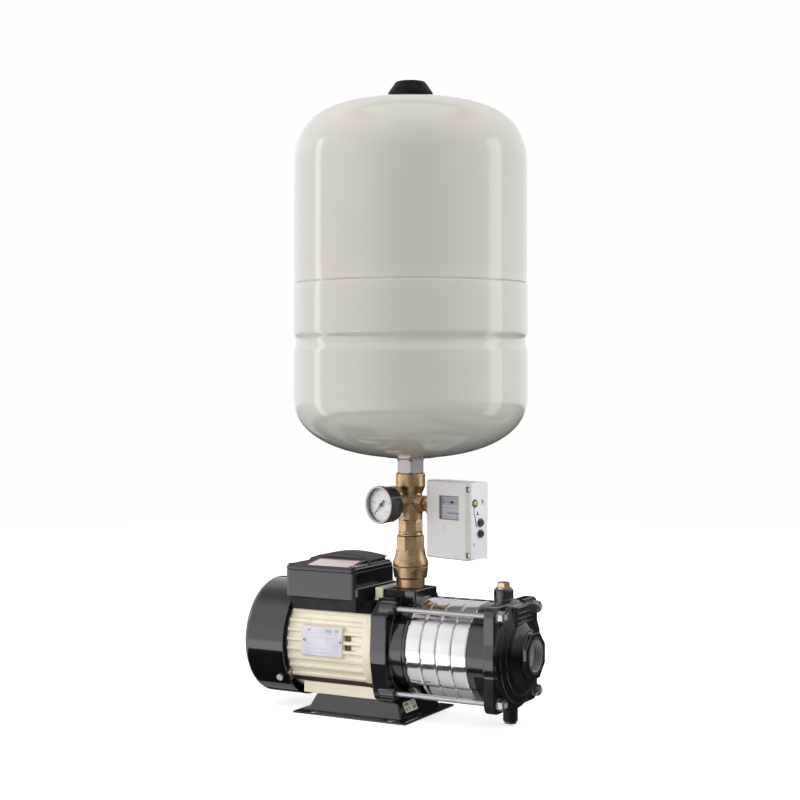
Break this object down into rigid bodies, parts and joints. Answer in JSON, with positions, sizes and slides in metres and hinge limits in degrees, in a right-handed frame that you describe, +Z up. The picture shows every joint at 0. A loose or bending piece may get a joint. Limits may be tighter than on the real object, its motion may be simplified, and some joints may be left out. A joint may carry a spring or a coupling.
{
  "type": "booster pump",
  "caption": "Horizontal multistage booster pump on a base plate, with check valve, brass manifold, pressure gauge, pressure switch and upright diaphragm tank.",
  "frame": {"origin": "on the floor, at the centre of the four slots in the base plate", "axes": "+X along the shaft from the fan towards the suction port, +Z up; the gauge looks towards -Y"},
  "size_m": [0.3735, 0.2924, 0.789],
  "materials": {
    "black_enamel": "gloss",
    "cream_enamel": "satin",
    "tank_enamel": "gloss",
    "stainless": "polished",
    "zinc_steel": "satin",
    "bearing_steel": "polished",
    "core_steel": "matt",
    "copper": "satin",
    "brass": "satin",
    "aluminium": "satin",
    "nameplate_metal": "satin",
    "black_plastic": "gloss",
    "matt_plastic": "matt",
    "bakelite": "matt",
    "pale_plastic": "satin",
    "grey_plastic": "satin",
    "ceramic": "gloss",
    "rubber": "matt",
    "lens_glass": "gloss",
    "dial_white": "satin",
    "needle_black": "satin",
    "switch_white": "satin",
    "switch_grey": "satin",
    "scale_grey": "satin",
    "pointer_red": "satin",
    "nickel": "satin"
  },
  "bodies": {
    "frame": {"base_plate": "black_enamel", "foot_bolts": "zinc_steel", "stator_housing": "cream_enamel", "stator_core": "core_steel", "stator_windings": "copper", "nameplate": "nameplate_metal", "rear_end_shield": "aluminium", "fan_cover": "black_enamel", "cover_screws": "zinc_steel", "terminal_box_base": "black_plastic", "terminal_box_lid": "black_plastic", "terminal_block": "bakelite", "capacitor": "pale_plastic", "cable_gland": "grey_plastic", "bearing_outer_races": "bearing_steel", "shaft_seal_seat": "ceramic", "discharge_casing": "black_enamel", "stage_shells": "stainless", "diffusers": "stainless", "stage_o_rings": "rubber", "suction_casing": "black_enamel", "tie_rods": "zinc_steel", "tie_rod_nuts": "zinc_steel", "discharge_nipple": "brass", "check_valve_cap": "brass", "check_valve_body": "brass", "poppet_spring": "stainless", "five_way_fitting": "brass", "tank_nipple": "nickel", "tank_lower_shell": "tank_enamel", "tank_upper_shell": "tank_enamel", "tank_diaphragm": "rubber", "tank_air_valve": "brass", "gauge_stem": "brass", "gauge_case": "black_enamel", "gauge_bezel": "nickel", "gauge_lens": "lens_glass", "gauge_dial": "dial_white", "switch_housing": "switch_white", "switch_cover": "switch_grey", "switch_scale_plate": "scale_grey", "switch_bellows": "brass"},
    "rotor": {"shaft": "stainless", "rotor_core": "core_steel", "cooling_fan": "matt_plastic", "impellers": "stainless", "impeller_nut": "zinc_steel", "shaft_seal_ring": "rubber", "bearing_inner_races": "bearing_steel"},
    "ball_cages": {"bearing_balls": "bearing_steel"},
    "valve_poppet": {"check_poppet": "brass"},
    "needle": {"gauge_needle": "needle_black"},
    "sector": {"gauge_sector": "brass"},
    "arm": {"switch_arm": "zinc_steel"},
    "range_screw": {"range_spindle": "matt_plastic"},
    "range_slider": {"range_pointer": "pointer_red"},
    "differential_screw": {"differential_spindle": "matt_plastic"},
    "valve_cap": {"tank_valve_cap": "black_plastic"},
    "filler_plug": {"priming_plug": "brass"},
    "drain_screw": {"drain_plug": "black_enamel"}
  },
  "joints": [
    {"name": "rotor_spin", "type": "hinge", "parent": "frame", "child": "rotor", "pos_m": [0, 0, 0.086], "axis": [1, 0, 0], "continuous": true},
    {"name": "ball_cage_spin", "type": "hinge", "parent": "frame", "child": "ball_cages", "pos_m": [0, 0, 0.086], "axis": [1, 0, 0], "continuous": true},
    {"name": "check_valve_lift", "type": "slide", "parent": "frame", "child": "valve_poppet", "axis": [0, 0, 1], "range_m": [0, 0.006], "stiffness_N_per_m": 160, "springref_m": -0.004, "deforming": ["poppet_spring"]},
    {"name": "gauge_sector_turn", "type": "hinge", "parent": "frame", "child": "sector", "pos_m": [0.052, 0, 0.2516], "axis": [0.2924, 0.9563, 0], "range_deg": [-54, 0], "stiffness_Nm_per_rad": 0.004, "springref_deg": 5.73},
    {"name": "gauge_needle_turn", "type": "hinge", "parent": "frame", "child": "needle", "pos_m": [0.052, 0, 0.2636], "axis": [0.2924, 0.9563, 0], "range_deg": [0, 270]},
    {"name": "switch_arm_tilt", "type": "hinge", "parent": "frame", "child": "arm", "pos_m": [0.10938, -0.01754, 0.211], "axis": [0.2924, 0.9563, 0], "range_deg": [0, 2], "stiffness_Nm_per_rad": 1, "springref_deg": -2.86},
    {"name": "range_screw_turn", "type": "hinge", "parent": "frame", "child": "range_screw", "pos_m": [0.05346, 0.00478, 0.2455], "axis": [0.9563, -0.2924, 0], "range_deg": [-1800, 1800]},
    {"name": "range_pointer_slide", "type": "slide", "parent": "frame", "child": "range_slider", "axis": [0.9563, -0.2924, 0], "range_m": [-0.00625, 0.00625]},
    {"name": "differential_screw_turn", "type": "hinge", "parent": "frame", "child": "differential_screw", "pos_m": [0.05346, 0.00478, 0.2323], "axis": [0.9563, -0.2924, 0], "range_deg": [-1080, 1080]},
    {"name": "valve_cap_lift", "type": "slide", "parent": "frame", "child": "valve_cap", "axis": [0, 0, 1], "range_m": [0, 0.04]},
    {"name": "priming_plug_lift", "type": "slide", "parent": "frame", "child": "filler_plug", "axis": [0, 0, 1], "range_m": [0, 0.03]},
    {"name": "drain_plug_turn", "type": "hinge", "parent": "frame", "child": "drain_screw", "pos_m": [0.189, 0, 0.01], "axis": [0, 0, -1], "range_deg": [0, 720]}
  ],
  "couplings": [
    {"joint": "ball_cage_spin", "follows": "rotor_spin", "ratio": 0.3814},
    {"joint": "gauge_needle_turn", "follows": "gauge_sector_turn", "ratio": -5},
    {"joint": "range_screw_turn", "follows": "range_pointer_slide", "rad_per_m": 5026.5}
  ]
}
